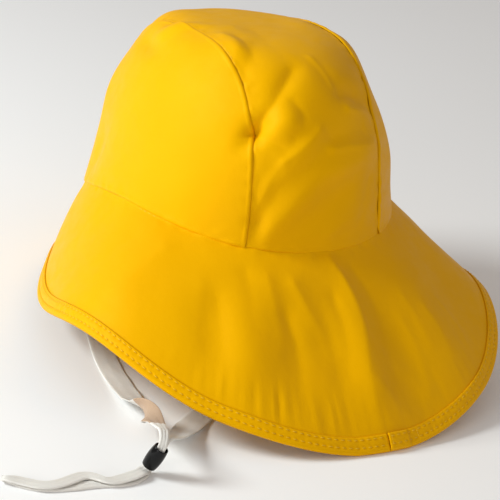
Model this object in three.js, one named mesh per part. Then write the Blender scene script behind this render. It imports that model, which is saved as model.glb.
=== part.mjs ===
// Sou'wester rain hat: a three-panel crown, a brim that is short in front and long behind, a bound
// rim, and a flat chin tape doubled through a barrel lock. Sizes in mm, +Z up, front faces -Y.
import * as THREE from "three";

const CLOTH = 1.2; // coated cloth wall
const GAP = 0.3; // between neighbouring pieces

// The hat is drawn about the middle of its head opening: x to the wearer's left, y to the rear.
const HEAD_LENGTH_HALF = 104;
const HEAD_WIDTH_HALF = 92.7;
const HEAD_PLAN_POWER = 2.1; // 2 is an ellipse, more is squarer
const CROWN_HEIGHT = 113.5;
const TOP_BEND = 3.0; // how late the crown turns in, seen from the side
const TOP_CORNER = 3.7;
const SIDE_LEAN = 0.335; // share of the width lost by the top
const SHOULDER = 4.6; // squareness of the crown seen from the front
const SEAM_SIDE_RISE = 10.1; // the brim seam climbs over the ears
const SEAM_REAR_RISE = 6.7; // and stands higher behind than in front

const BRIM_SPREAD = 83.5; // how far the rear tip of the brim stands out past the head
const BRIM_FALL = 96.8; // and how far it hangs down
// Rim by azimuth from the front, as shares of those two; the two sides mirror each other.
const RIM_STEP = 30;
const RIM = [
  { spread: 0.289, fall: 0.649 },
  { spread: 0.250, fall: 0.606 },
  { spread: 0.258, fall: 0.566 },
  { spread: 0.486, fall: 0.590 },
  { spread: 0.788, fall: 0.480 },
  { spread: 0.965, fall: 0.798 },
  { spread: 1.000, fall: 1.000 },
];
const RIM_SETTLE = 0.9; // cloth flattened where the rim stands on the ground
const BRIM_BULGE = 2.0;

const BAND_WIDTH = 9;
const BAND_CLOTH = 1.0;
const BAND_JOIN = 181; // azimuth of the band's visible end
const BAND_LAP = 14; // its folded end is doubled over this length
const BAND_LAP_RISE = 0.9;

const STRIP_HALF_FOOT = 47.4;
const STRIP_HALF_TOP = 41.2;

const CROWN_FOLD = 4.5; // depth of the deepest dent in the crown
// Its dents and folds. Middle: shares of the half width, half length and height of the crown;
// half length and half width: of the crown's height; height outwards: of the deepest dent.
const CROWN_FOLDS = [
  { at: [0.453, 0.788, 0.594], run: [-0.55, 0.1, 0.5], long: 0.114, wide: 0.052, high: -1 }, // pinch on the rear left seam
  { at: [0.216, 0.731, 0.838], run: [-0.7, -0.35, 0.62], long: 0.131, wide: 0.052, high: -0.49 }, // valley above it
  { at: [0.291, 0.856, 0.664], run: [-0.5, 0.1, -0.8], long: 0.131, wide: 0.096, high: 0.71 }, // bulge beside it
  { at: [0.248, 0.952, 0.218], run: [-0.6, 0.14, 0.78], long: 0.227, wide: 0.07, high: 0.53 },
  { at: [-0.205, 0.933, 0.445], run: [-0.94, -0.3, 0.17], long: 0.245, wide: 0.07, high: 0.58 },
  { at: [0.194, 0.933, 0.48], run: [-0.68, 0.03, 0.73], long: 0.175, wide: 0.052, high: 0.4 },
  { at: [-0.022, 0.962, 0.245], run: [-0.8, 0, 0.6], long: 0.227, wide: 0.079, high: -0.4 },
  { at: [-0.065, 0.721, 0.891], run: [-0.35, 0.75, -0.56], long: 0.131, wide: 0.052, high: -0.44 },
  { at: [-0.313, 0.769, 0.742], run: [-0.82, -0.2, -0.5], long: 0.175, wide: 0.061, high: -0.53 },
  { at: [0.453, 0.894, 0.14], run: [0.05, 0, 1], long: 0.105, wide: 0.044, high: -0.36 },
  { at: [0.388, 0.394, 0.961], run: [-0.1, 1, -0.2], long: 0.148, wide: 0.087, high: 0.67 }, // full shoulder of the seam
  { at: [0.496, -0.135, 0.961], run: [-0.6, 0.7, 0.3], long: 0.175, wide: 0.052, high: 0.58 }, // fold at the top left
  { at: [0.626, -0.288, 0.856], run: [0.1, 1, -0.1], long: 0.175, wide: 0.061, high: -0.58 },
  { at: [-0.518, 0.288, 0.908], run: [0.1, 1, -0.1], long: 0.21, wide: 0.114, high: 0.8 }, // corner of the far shoulder
  { at: [-0.388, 0.019, 0.978], run: [0.3, 1, 0], long: 0.245, wide: 0.114, high: 0.44 },
  { at: [0.324, -0.5, 0.943], run: [0.3, 1, 0], long: 0.192, wide: 0.131, high: 0.58 }, // full front of the top
  { at: [0.669, -0.615, 0.541], run: [0.1, 0.1, 1], long: 0.15, wide: 0.131, high: 0.53 },
  { at: [-0.69, 0.635, 0.419], run: [0, 0, 1], long: 0.192, wide: 0.131, high: 0.58 },
  { at: [-0.755, -0.135, 0.576], run: [0.2, 0.2, 0.9], long: 0.21, wide: 0.105, high: -0.53 },
  { at: [0.852, -0.413, 0.227], run: [0.2, 0.1, 1], long: 0.16, wide: 0.114, high: -0.85 },
];

const BRIM_FOLD = 3.2; // height of the long ridge down the neck brim
// Folds of the brim: azimuth, share of the way down, half spans, height as a share of that ridge.
const BRIM_FOLDS = [
  { azimuth: 182, down: 0.55, turn: 5.5, long: 0.42, high: 1 },
  { azimuth: 193, down: 0.6, turn: 6, long: 0.35, high: -0.75 },
  { azimuth: 173, down: 0.48, turn: 4.5, long: 0.2, high: -0.81 },
  { azimuth: 164, down: 0.54, turn: 5, long: 0.24, high: -0.75 },
  { azimuth: 154, down: 0.6, turn: 5, long: 0.3, high: 0.56 },
  { azimuth: 145, down: 0.55, turn: 5, long: 0.22, high: -0.81 },
  { azimuth: 122, down: 0.6, turn: 14, long: 0.4, high: 0.5 },
  { azimuth: 206, down: 0.62, turn: 6, long: 0.36, high: 0.62 },
  { azimuth: 222, down: 0.5, turn: 8, long: 0.3, high: -0.81 },
  { azimuth: 245, down: 0.5, turn: 14, long: 0.35, high: -0.69 },
  { azimuth: 318, down: 0.6, turn: 12, long: 0.35, high: 0.44 },
  { azimuth: 30, down: 0.55, turn: 11, long: 0.35, high: 0.44 },
];

const TAPE_WIDTH = 15;
const TAPE_THICK = 0.9;
const TAPE_SEWN = 15; // sewn to the crown's inside above the brim seam
const LOCK_LENGTH = 14;
const LOCK_WALL = 0.75; // at its ends
const LOCK_SWELL = 0.6; // how much fuller its middle is
const STRAND_THROUGH = { width: 4.9, thick: 1.8 }; // each of the two strands, bunched up in the bore
const STRAND_APART = 0.4;
const LOCK_BORE = Math.hypot(STRAND_THROUGH.width / 2, STRAND_THROUGH.thick + STRAND_APART / 2) + GAP;
const LOCK_END = LOCK_BORE + LOCK_WALL;
const LOCK_BELLY = LOCK_END + LOCK_SWELL;

// Periodic table of the rim read smoothly between its rows.
function rimAt(azimuth, column) {
  const turned = Math.abs(THREE.MathUtils.euclideanModulo(azimuth + 180, 360) - 180) / RIM_STEP;
  const k = Math.min(Math.floor(turned), RIM.length - 2);
  const t = turned - k;
  const row = (i) => {
    const last = RIM.length - 1;
    const j = i < 0 ? -i : i > last ? 2 * last - i : i;
    return RIM[j][column];
  };
  const [a, b, c, d] = [row(k - 1), row(k), row(k + 1), row(k + 2)];
  return 0.5 * (2 * b + (c - a) * t + (2 * a - 5 * b + 4 * c - d) * t * t + (3 * b - a - 3 * c + d) * t ** 3);
}

const heading = (azimuth) => {
  const a = THREE.MathUtils.degToRad(azimuth);
  return new THREE.Vector3(Math.sin(a), -Math.cos(a), 0);
};

// Standing: the hat leans forward until the front and rear of its rim are both on the ground.
const headReach = (azimuth, z) => {
  const h = heading(azimuth);
  return crownLevel(h.x, h.y, z) ** (-1 / HEAD_PLAN_POWER);
};
const rimReach = (azimuth) => headReach(azimuth, 0) + BRIM_SPREAD * rimAt(azimuth, "spread");
const rimDrawn = (azimuth) => heading(azimuth).multiplyScalar(rimReach(azimuth)).setZ(-BRIM_FALL * rimAt(azimuth, "fall"));
const frontRim = rimDrawn(0);
const rearRim = rimDrawn(180);
const LEAN = Math.atan2(frontRim.z - rearRim.z, rearRim.y - frontRim.y);
const leaned = (p) => p.clone().applyAxisAngle(new THREE.Vector3(1, 0, 0), LEAN);
const BAND_DROP = 2.15; // the band's fold hangs this far under the brim's edge
const LIFT = BAND_DROP - RIM_SETTLE - leaned(frontRim).z;
const rest = (p) => leaned(p).setZ(leaned(p).z + LIFT);
const unrest = (p) => p.clone().setZ(p.z - LIFT).applyAxisAngle(new THREE.Vector3(1, 0, 0), -LEAN);

// Crown surface: 1 on it, less inside.
function crownLevel(x, y, z) {
  const h = Math.max(z / CROWN_HEIGHT, 0);
  if (h >= 1) return 9;
  const long = HEAD_LENGTH_HALF * (1 - h ** TOP_BEND) ** (1 / TOP_CORNER);
  const wide = HEAD_WIDTH_HALF * (1 - SIDE_LEAN * h) * (1 - h ** SHOULDER) ** (1 / SHOULDER);
  return Math.abs(x / wide) ** HEAD_PLAN_POWER + Math.abs(y / long) ** HEAD_PLAN_POWER;
}

function cast(from, direction) {
  let near = 0;
  let far = 260;
  for (let i = 0; i < 44; i++) {
    const mid = (near + far) / 2;
    const p = direction.clone().multiplyScalar(mid).add(from);
    if (crownLevel(p.x, p.y, p.z) < 1) near = mid;
    else far = mid;
  }
  return direction.clone().multiplyScalar(near).add(from);
}

// Where crown and brim are sewn together.
function seamAt(azimuth) {
  const a = THREE.MathUtils.degToRad(azimuth);
  const z = -SEAM_SIDE_RISE * Math.cos(2 * a) - SEAM_REAR_RISE * Math.cos(a);
  return heading(azimuth).multiplyScalar(headReach(azimuth, z)).setZ(z);
}

// Azimuth of the seam point that stands at x, on the rear or the front half.
function seamAzimuth(x, rear) {
  let near = rear ? 180 : 0;
  let far = 90;
  for (let i = 0; i < 40; i++) {
    const mid = (near + far) / 2;
    if (seamAt(mid).x < Math.abs(x)) near = mid;
    else far = mid;
  }
  return x < 0 ? -near : near;
}

const CROWN_SPAN = new THREE.Vector3(HEAD_WIDTH_HALF, HEAD_LENGTH_HALF, CROWN_HEIGHT);
const crownFold = (p) =>
  CROWN_FOLDS.reduce((sum, f) => {
    const middle = new THREE.Vector3(...f.at).multiply(CROWN_SPAN);
    const off = p.clone().sub(middle);
    const along = off.dot(new THREE.Vector3(...f.run).normalize());
    const beside = off.lengthSq() - along * along;
    const [long, wide] = [f.long * CROWN_HEIGHT, f.wide * CROWN_HEIGHT];
    return sum + CROWN_FOLD * f.high * Math.exp(-((along / long) ** 2) - beside / wide ** 2);
  }, 0);

// Strip point: across -1..1, over 0 (rear foot) to 1 (front foot).
function stripPoint(across, over) {
  const half = STRIP_HALF_FOOT + (STRIP_HALF_TOP - STRIP_HALF_FOOT) * Math.sin(Math.PI * over);
  const foot = (rear) => {
    const s = seamAt(seamAzimuth(across * STRIP_HALF_FOOT, rear));
    return Math.atan2(s.z + GAP, s.y);
  };
  const rearFoot = foot(true);
  let frontFoot = foot(false);
  if (frontFoot < 0) frontFoot += 2 * Math.PI;
  const turn = rearFoot + (frontFoot - rearFoot) * over;
  return cast(new THREE.Vector3(across * half, 0, 0), new THREE.Vector3(0, Math.cos(turn), Math.sin(turn)));
}

// Side panel point: along 0 (rear foot) to 1 (front foot), down 0 (strip seam) to 1 (brim seam).
function sidePoint(along, down, side) {
  const edge = 1 + GAP / STRIP_HALF_FOOT;
  const top = stripPoint(side * edge, along);
  const rearFoot = seamAzimuth(side * edge * STRIP_HALF_FOOT, true);
  const frontFoot = seamAzimuth(side * edge * STRIP_HALF_FOOT, false);
  const base = seamAt(rearFoot + (frontFoot - rearFoot) * along);
  base.z += GAP;
  const toward = top.clone().lerp(base, down).normalize();
  return cast(new THREE.Vector3(0, 0, 0), toward);
}

// Brim point: azimuth, down 0 (crown seam) to 1 (rim).
function rimPoint(azimuth) {
  const p = rest(rimDrawn(azimuth));
  return unrest(p.setZ(Math.max(p.z, BAND_DROP)));
}

function brimPoint(azimuth, down) {
  const top = seamAt(azimuth);
  const p = top.clone().lerp(rimPoint(azimuth), down);
  const out = heading(azimuth).setZ(0.8).normalize();
  return p.addScaledVector(out, BRIM_BULGE * 4 * down * (1 - down));
}

// Cloth at (u, v) of a surface: its outer and inner point, moved together by the folds.
function clothAt(surface, u, v, step, fold) {
  const p = surface(u, v);
  const [nearU, nearV] = [u, v].map((c, i) => (i === 0 && step.freeU ? c : THREE.MathUtils.clamp(c, step.low, step.high)));
  const [du, dv] = [step.u, step.v];
  const a = surface(nearU + du, nearV).sub(surface(nearU - du, nearV));
  const b = surface(nearU, nearV + dv).sub(surface(nearU, nearV - dv));
  const n = a.cross(b).normalize();
  if (n.dot(p) < 0) n.negate();
  const rise = fold(p, u, v);
  return { outer: p.clone().addScaledVector(n, rise), inner: p.clone().addScaledVector(n, rise - CLOTH), n };
}

// Solid swept through sections; each section is an outer line and an inner line of equal length.
function sweep(name, sections, ring) {
  const n = sections[0].outer.length;
  const points = [];
  const index = new Map();
  const id = (p) => {
    const key = p.toArray().map((c) => Math.round(c * 500)).join();
    if (!index.has(key)) index.set(key, points.push(p) - 1);
    return index.get(key);
  };
  const loops = sections.map((s) => [...s.outer, ...s.inner.slice().reverse()].map(id));
  const triangles = [];
  const face = (a, b, c, d) => {
    for (const t of [[a, b, c], [a, c, d]]) if (new Set(t).size === 3) triangles.push(...t);
  };
  const m = 2 * n;
  const last = ring ? sections.length : sections.length - 1;
  for (let k = 0; k < last; k++) {
    const here = loops[k];
    const next = loops[(k + 1) % sections.length];
    for (let i = 0; i < m; i++) {
      const j = (i + 1) % m;
      // The quad is split from its upper corner here, so that neighbouring layers split alike.
      if (points[here[i]].z > points[here[j]].z) face(here[i], here[j], next[j], next[i]);
      else face(here[j], next[j], next[i], here[i]);
    }
  }
  if (!ring)
    for (const [loop, start] of [[loops[0], true], [loops.at(-1), false]])
      for (let i = 0; i < n - 1; i++) {
        const quad = [loop[i], loop[m - 1 - i], loop[m - 2 - i], loop[i + 1]];
        if (start) face(...quad);
        else face(...quad.reverse());
      }
  let six = 0;
  for (let t = 0; t < triangles.length; t += 3) {
    const [a, b, c] = [0, 1, 2].map((j) => points[triangles[t + j]]);
    six += a.dot(b.clone().cross(c));
  }
  if (six < 0) triangles.reverse();
  const geometry = new THREE.BufferGeometry().setFromPoints(points);
  geometry.setIndex(triangles);
  const mesh = new THREE.Mesh(geometry);
  mesh.name = name;
  return mesh;
}

const steps = (from, to, count) => Array.from({ length: count + 1 }, (_, i) => from + ((to - from) * i) / count);

const hat = new THREE.Group();
hat.name = "souwester_hat";

// Crown, centre strip from the front over the top to the rear.
const STRIP_ACROSS = 9;
const STRIP_OVER = 40;
const STRIP_EDGE = 1 - GAP / 2 / STRIP_HALF_TOP;
const stripStep = { freeU: true, low: 0.01, high: 0.99, u: 0.01, v: 0.004 };
const stripSections = steps(0, 1, STRIP_OVER).map((over) => {
  const cloth = steps(-STRIP_EDGE, STRIP_EDGE, STRIP_ACROSS).map((across) =>
    clothAt(stripPoint, across, over, stripStep, crownFold),
  );
  return { outer: cloth.map((c) => rest(c.outer)), inner: cloth.map((c) => rest(c.inner)) };
});
hat.add(sweep("crown_strip", stripSections, false));

// Crown, the two D-shaped side panels.
const SIDE_ALONG = 26;
const SIDE_DOWN = 10;
const sideStep = { freeU: false, low: 0.015, high: 0.985, u: 0.01, v: 0.01 };
for (const [name, side] of [["crown_side_left", 1], ["crown_side_right", -1]]) {
  const sections = steps(0, 1, SIDE_ALONG).map((along) => {
    const cloth = steps(0, 1, SIDE_DOWN).map((down) =>
      clothAt((a, d) => sidePoint(a, d, side), along, down, sideStep, crownFold),
    );
    return { outer: cloth.map((c) => rest(c.outer)), inner: cloth.map((c) => rest(c.inner)) };
  });
  hat.add(sweep(name, sections, false));
}

// Brim, one ring of cloth from the crown seam to the rim.
const BRIM_STATIONS = 120;
const BRIM_ROWS = [0, 0.14, 0.3, 0.46, 0.62, 0.78];
const brimStep = { freeU: true, low: 0.02, high: 0.98, u: 0.5, v: 0.02 };
const brimFold = (p, azimuth, down) =>
  BRIM_FOLDS.reduce((sum, f) => {
    const away = Math.abs(THREE.MathUtils.euclideanModulo(azimuth - f.azimuth + 180, 360) - 180);
    return sum + BRIM_FOLD * f.high * Math.exp(-((away / f.turn) ** 2) - ((down - f.down) / f.long) ** 2);
  }, 0) * (down < 0.9 ? Math.min(1, down * 6) : Math.max(0, (1 - down) * 10)) ** 0.5;
const brimCloth = (azimuth, down) => clothAt(brimPoint, azimuth, down, brimStep, brimFold);
const brimLength = (azimuth) => rimPoint(azimuth).distanceTo(seamAt(azimuth));
const bandTop = (azimuth) => 1 - BAND_WIDTH / brimLength(azimuth);
const brimSections = steps(0, 360, BRIM_STATIONS).slice(0, -1).map((azimuth) => {
  const cloth = [...BRIM_ROWS, bandTop(azimuth), 1].map((down) => brimCloth(azimuth, down));
  return { outer: cloth.map((c) => rest(c.outer)), inner: cloth.map((c) => rest(c.inner)) };
});
hat.add(sweep("brim", brimSections, true));

// Band folded over the rim; it runs once round and its visible end is doubled over.
const GROUND_PRESS = 0.7; // the fold is pressed flat where it stands
const PER_DEGREE = THREE.MathUtils.degToRad(1) * rimReach(180);
function bandSection(azimuth, lap) {
  const edge = brimCloth(azimuth, 1);
  const top = brimCloth(azimuth, bandTop(azimuth));
  const down = edge.outer.clone().sub(top.outer).normalize();
  const at = (from, out, over) => rest(from.outer.clone().addScaledVector(from.n, out).addScaledVector(down, over));
  const skin = GAP + BAND_CLOTH;
  const press = (p) => (p.z < GROUND_PRESS ? p.setZ(0) : p);
  return {
    outer: [
      at(top, skin + lap, 0),
      at(edge, skin + lap, 0.4),
      at(edge, -CLOTH / 2, skin + 0.35),
      at(edge, -CLOTH - skin, 0.4),
      at(top, -CLOTH - skin, 0),
    ].map(press),
    inner: [
      at(top, GAP, 0),
      at(edge, GAP, 0.15),
      at(edge, -CLOTH / 2, GAP),
      at(edge, -CLOTH - GAP, 0.15),
      at(top, -CLOTH - GAP, 0),
    ],
  };
}
const joinEnd = BAND_JOIN + GAP / 2 / PER_DEGREE;
const lapEnd = BAND_JOIN + BAND_LAP / PER_DEGREE;
const between = steps(0, 360, BRIM_STATIONS).map((a) => BAND_JOIN - (BAND_JOIN % 3) + a + 3).slice(0, -1);
const bandSections = [
  bandSection(joinEnd, BAND_LAP_RISE),
  ...between.flatMap((a) => {
    if (a < lapEnd) return [bandSection(a, BAND_LAP_RISE)];
    return a - 3 < lapEnd ? [bandSection(lapEnd, BAND_LAP_RISE), bandSection(a, 0)] : [bandSection(a, 0)];
  }),
  bandSection(BAND_JOIN + 360 - GAP / 2 / PER_DEGREE, 0),
];
hat.add(sweep("rim_band", bandSections, false));

// The hat without its tape stands on the origin, which is under the middle of its rim.
const stood = new THREE.Box3().setFromObject(hat);
const middle = stood.getCenter(new THREE.Vector3());
hat.position.set(-middle.x, -middle.y, -stood.min.z);

// Chin tape, one loop: sewn at the left ear, over the ground to the lock, out to the bight of the
// tail, back through the lock and under the hat to the right ear.
const sewnAt = (side, up) => {
  const wall = cast(new THREE.Vector3(0, TAPE_WIDTH / 2, up), new THREE.Vector3(side, 0, 0));
  return rest(wall.set(wall.x - side * 1.2 * (CLOTH + GAP + TAPE_THICK / 2), 0, up)).toArray();
};
const SEWN_LOW = SEAM_SIDE_RISE + 1;
const LOCK_FOOT = new THREE.Vector3(145.6, 179, 5.2); // middle of its lower end
const LOCK_AXIS = new THREE.Vector3(-0.303, 0.286, 0.91).normalize();
const LOCK_ACROSS = new THREE.Vector3(0.686, 0.727, 0); // from one strand in the bore to the other
const inBore = (up, across) => {
  const p = LOCK_FOOT.clone().addScaledVector(LOCK_AXIS, up * LOCK_LENGTH);
  p.addScaledVector(LOCK_ACROSS, (across * (STRAND_THROUGH.thick + STRAND_APART)) / 2);
  return { at: p.toArray(), wide: [-0.66, 0.62, -0.42], ...STRAND_THROUGH };
};
const FLAT = { width: TAPE_WIDTH, thick: TAPE_THICK };
const TAPE = [
  { at: sewnAt(1, SEWN_LOW + TAPE_SEWN), wide: [0, 1, 0], ...FLAT },
  { at: sewnAt(1, SEWN_LOW), wide: [0, 1, 0], ...FLAT },
  { at: [91, 0, 66], wide: [0.15, 1, 0], ...FLAT },
  { at: [93, 1, 44], wide: [0.6, 0.8, 0], ...FLAT },
  { at: [94.5, 4, 22], wide: [0.95, 0.3, 0], ...FLAT },
  { at: [96.3, 11, 6], wide: [1, 0, 0], ...FLAT },
  { at: [98.4, 18.5, 1.4], wide: [1, -0.1, 0], ...FLAT },
  { at: [100.7, 27.2, 0.5], wide: [1, -0.2, 0], ...FLAT },
  { at: [106, 43.6, 0.5], wide: [1, -0.25, 0], ...FLAT },
  { at: [110, 58.6, 0.5], wide: [1, -0.2, 0], ...FLAT },
  { at: [113, 74, 0.8], wide: [1, -0.15, 0], ...FLAT },
  { at: [115.8, 90, 2], wide: [1, -0.15, 0.05], ...FLAT },
  { at: [119.3, 108, 5], wide: [1, -0.15, 0.15], ...FLAT },
  { at: [123, 123, 9], wide: [0.9, -0.1, 0.5], ...FLAT },
  { at: [125.8, 134, 12.6], wide: [0.1, 0, 1], width: 14, thick: 0.9 },
  { at: [128.6, 145, 16], wide: [-0.8, 0.15, 0.6], width: 12.5, thick: 1.0 },
  { at: [132.5, 158.5, 19.4], wide: [-0.85, 0.35, 0], width: 10, thick: 1.2 },
  { at: [136.8, 171, 23.6], wide: [-0.8, 0.55, -0.1], width: 7.5, thick: 1.5 },
  { at: [139.6, 180, 25.8], wide: [-0.72, 0.65, -0.2], width: 5.8, thick: 1.7 },
  { at: [141.4, 184.1, 23.2], wide: [-0.68, 0.63, -0.38], ...STRAND_THROUGH },
  inBore(1, 1),
  inBore(0, 1),
  { at: [147.9, 179.2, 3.2], wide: [-0.5, 0.75, -0.3], width: 7, thick: 1.5 },
  { at: [151.4, 181.3, 3.4], wide: [-0.35, 0.94, 0], width: 7.5, thick: 1.5 },
  { at: [157.2, 182.7, 2.9], wide: [-0.18, 0.98, 0], width: 8.5, thick: 1.4 },
  { at: [164.7, 183.7, 2.6], wide: [-0.08, 1.00, 0], width: 8.5, thick: 1.4 },
  { at: [170.5, 183.8, 2.6], wide: [0.14, 0.99, 0], width: 7.2, thick: 1.4 },
  { at: [174.0, 182.4, 2.8], wide: [0.65, 0.76, 0], width: 5.6, thick: 1.5 },
  { at: [176.6, 178.5, 2.6], wide: [0.78, 0.62, 0], width: 6.4, thick: 1.4 },
  { at: [179.8, 175.2, 2.4], wide: [0.45, 0.89, 0], width: 7.2, thick: 1.4 },
  { at: [184.4, 174.6, 2.4], wide: [-0.10, 1.00, 0], width: 8, thick: 1.4 },
  { at: [190.5, 176.2, 2.4], wide: [-0.24, 0.97, 0], width: 8.2, thick: 1.4 },
  { at: [197.5, 178.0, 2.4], wide: [-0.14, 0.99, 0], width: 8.2, thick: 1.4 },
  { at: [204.4, 178.2, 2.4], wide: [0.12, 0.99, 0], width: 8, thick: 1.4 },
  { at: [210.1, 176.4, 2.4], wide: [0.47, 0.88, 0], width: 8, thick: 1.4 },
  { at: [214.8, 172.7, 2.4], wide: [0.62, 0.78, 0], width: 8.2, thick: 1.4 },
  { at: [219.1, 169.2, 2.6], wide: [0.56, 0.83, 0], width: 8, thick: 1.4 },
  { at: [222.7, 167.4, 3], wide: [0.48, 0.87, 0], width: 6.6, thick: 1.4 },
  { at: [225.2, 165.8, 2.9], wide: [0.67, 0.74, 0], width: 4.8, thick: 1.4 },
  { at: [225.8, 164.5, 1.95], wide: [0.67, 0.74, 0], width: 4.2, thick: 1.4 },
  { at: [224.3, 164.0, 0.95], wide: [0.33, 0.94, 0], width: 4.8, thick: 1.4 },
  { at: [221.1, 166.2, 0.75], wide: [0.65, 0.76, 0], width: 6.8, thick: 1.4 },
  { at: [217.0, 170.2, 0.7], wide: [0.67, 0.74, 0], width: 8.2, thick: 1.4 },
  { at: [211.9, 174.5, 0.7], wide: [0.55, 0.83, 0], width: 8.2, thick: 1.4 },
  { at: [205.3, 178.0, 0.7], wide: [0.36, 0.93, 0], width: 8, thick: 1.4 },
  { at: [198.0, 179.9, 0.7], wide: [0.20, 0.98, 0], width: 8, thick: 1.4 },
  { at: [190.2, 181.0, 0.7], wide: [0.11, 0.99, 0], width: 8, thick: 1.4 },
  { at: [182.1, 181.7, 0.7], wide: [0.11, 0.99, 0], width: 7.4, thick: 1.4 },
  { at: [174.2, 182.8, 0.7], wide: [0.17, 0.99, 0], width: 7.4, thick: 1.4 },
  { at: [166.6, 184.3, 0.7], wide: [0.11, 0.99, 0], width: 8.2, thick: 1.4 },
  { at: [159.3, 184.4, 0.7], wide: [-0.13, 0.99, 0], width: 8.2, thick: 1.4 },
  { at: [153.0, 182.6, 0.9], wide: [-0.44, 0.90, 0], width: 7.5, thick: 1.5 },
  { at: [146.9, 178.3, 1.8], wide: [-0.5, 0.75, -0.3], width: 7, thick: 1.4 },
  inBore(0, -1),
  inBore(1, -1),
  { at: [138.4, 181.4, 21.6], wide: [-0.7, 0.66, -0.2], width: 5.4, thick: 1.7 },
  { at: [135, 178.4, 20.8], wide: [-0.7, 0.7, 0], width: 6.6, thick: 1.5 },
  { at: [128, 171, 16], wide: [-0.68, 0.72, 0.05], width: 9.5, thick: 1.2 },
  { at: [116.7, 158.8, 9.4], wide: [-0.65, 0.75, 0.1], width: 12.5, thick: 1.0 },
  { at: [102.4, 144.2, 3.6], wide: [-0.62, 0.78, 0], ...FLAT },
  { at: [89.5, 133, 0.9], wide: [-0.6, 0.8, 0], ...FLAT },
  { at: [79.4, 125.4, 0.5], wide: [-0.58, 0.81, 0], ...FLAT },
  { at: [55, 107, 0.5], wide: [-0.6, 0.8, 0], ...FLAT },
  { at: [25, 84, 0.5], wide: [-0.6, 0.8, 0], ...FLAT },
  { at: [-8, 60, 0.5], wide: [-0.58, 0.81, 0], ...FLAT },
  { at: [-40, 38, 0.5], wide: [-0.55, 0.84, 0], ...FLAT },
  { at: [-66, 22, 1.4], wide: [-0.5, 0.87, 0], ...FLAT },
  { at: [-82, 12, 8], wide: [-0.4, 0.9, 0], ...FLAT },
  { at: [-90, 5, 24], wide: [-0.2, 0.97, 0], ...FLAT },
  { at: [-92.5, 1, 44], wide: [0, 1, 0], ...FLAT },
  { at: [-91.5, 0, 66], wide: [0, 1, 0], ...FLAT },
  { at: sewnAt(-1, SEWN_LOW), wide: [0, 1, 0], ...FLAT },
  { at: sewnAt(-1, SEWN_LOW + TAPE_SEWN), wide: [0, 1, 0], ...FLAT },
];
const TAPE_PITCH = 8;

const tapeLine = new THREE.CatmullRomCurve3(TAPE.map((r) => new THREE.Vector3(...r.at)), false, "centripetal");
const tapeStations = TAPE.slice(0, -1).flatMap((row, k) => {
  const span = new THREE.Vector3(...row.at).distanceTo(new THREE.Vector3(...TAPE[k + 1].at));
  const count = Math.max(1, Math.round(span / TAPE_PITCH));
  return steps(k, k + 1, count).slice(0, -1);
});
const tapeSection = (s) => {
  const k = Math.min(Math.floor(s), TAPE.length - 2);
  const t = s - k;
  const [a, b] = [TAPE[k], TAPE[k + 1]];
  const centre = tapeLine.getPoint(s / (TAPE.length - 1));
  const heading = tapeLine.getTangent(s / (TAPE.length - 1));
  const wide = new THREE.Vector3(...a.wide).normalize().lerp(new THREE.Vector3(...b.wide).normalize(), t);
  wide.addScaledVector(heading, -wide.dot(heading)).normalize();
  const face = heading.clone().cross(wide);
  const half = (a.width + (b.width - a.width) * t) / 2;
  const deep = (a.thick + (b.thick - a.thick) * t) / 2;
  centre.z = Math.max(centre.z, Math.abs(wide.z) * half + Math.abs(face.z) * deep);
  const corner = (w, f) => centre.clone().addScaledVector(wide, w).addScaledVector(face, f);
  return { outer: [corner(-half, deep), corner(half, deep)], inner: [corner(-half, -deep), corner(half, -deep)] };
};
hat.add(sweep("chin_tape", [...tapeStations, TAPE.length - 1].map(tapeSection), false));

// Barrel lock, leaning on its lower end with both strands through it.
const LOCK_TURNS = 28;
const lockProfile = [
  [LOCK_BORE, 0.5],
  [LOCK_BORE + 0.3, 0],
  [LOCK_END - 0.3, 0],
  [LOCK_END, 0.4],
  [LOCK_BELLY - 0.13, LOCK_LENGTH * 0.3],
  [LOCK_BELLY, LOCK_LENGTH * 0.5],
  [LOCK_BELLY - 0.13, LOCK_LENGTH * 0.7],
  [LOCK_END, LOCK_LENGTH - 0.4],
  [LOCK_END - 0.3, LOCK_LENGTH],
  [LOCK_BORE + 0.3, LOCK_LENGTH],
  [LOCK_BORE, LOCK_LENGTH - 0.5],
].map(([r, y]) => new THREE.Vector2(r, y));
const lock = new THREE.Mesh(new THREE.LatheGeometry([...lockProfile, lockProfile[0]], LOCK_TURNS));
lock.name = "tape_lock";
lock.quaternion.setFromUnitVectors(new THREE.Vector3(0, 1, 0), LOCK_AXIS);
lock.position.copy(LOCK_FOOT);
hat.add(lock);

export default hat;
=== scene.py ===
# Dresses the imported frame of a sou'wester rain hat: coated cloth, a stitched rim, a cotton chin tape
# and its barrel lock. Lengths are millimetres until each mesh is made, which brings them to metres.
import math

import bmesh
import bpy
import numpy as np
from mathutils import Matrix, Vector


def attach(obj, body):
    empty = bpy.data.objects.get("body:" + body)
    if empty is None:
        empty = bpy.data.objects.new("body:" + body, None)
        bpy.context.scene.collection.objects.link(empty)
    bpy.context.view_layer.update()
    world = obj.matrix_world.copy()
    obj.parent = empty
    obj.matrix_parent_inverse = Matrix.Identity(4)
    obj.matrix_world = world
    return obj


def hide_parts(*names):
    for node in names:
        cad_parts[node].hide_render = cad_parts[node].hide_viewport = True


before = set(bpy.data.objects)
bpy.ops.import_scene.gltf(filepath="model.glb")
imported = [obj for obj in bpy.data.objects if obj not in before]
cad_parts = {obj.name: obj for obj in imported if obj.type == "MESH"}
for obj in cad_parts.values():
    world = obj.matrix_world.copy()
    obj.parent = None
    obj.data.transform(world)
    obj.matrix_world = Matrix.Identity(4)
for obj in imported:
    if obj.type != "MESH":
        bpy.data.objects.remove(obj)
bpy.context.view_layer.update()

# Camera
# It looks at the hat from its left rear and a little above, tipped to one side as the photograph is.
camera_data = bpy.data.cameras.new("camera")
camera_data.sensor_width = 36.0
camera_data.lens = 147.0
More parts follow.
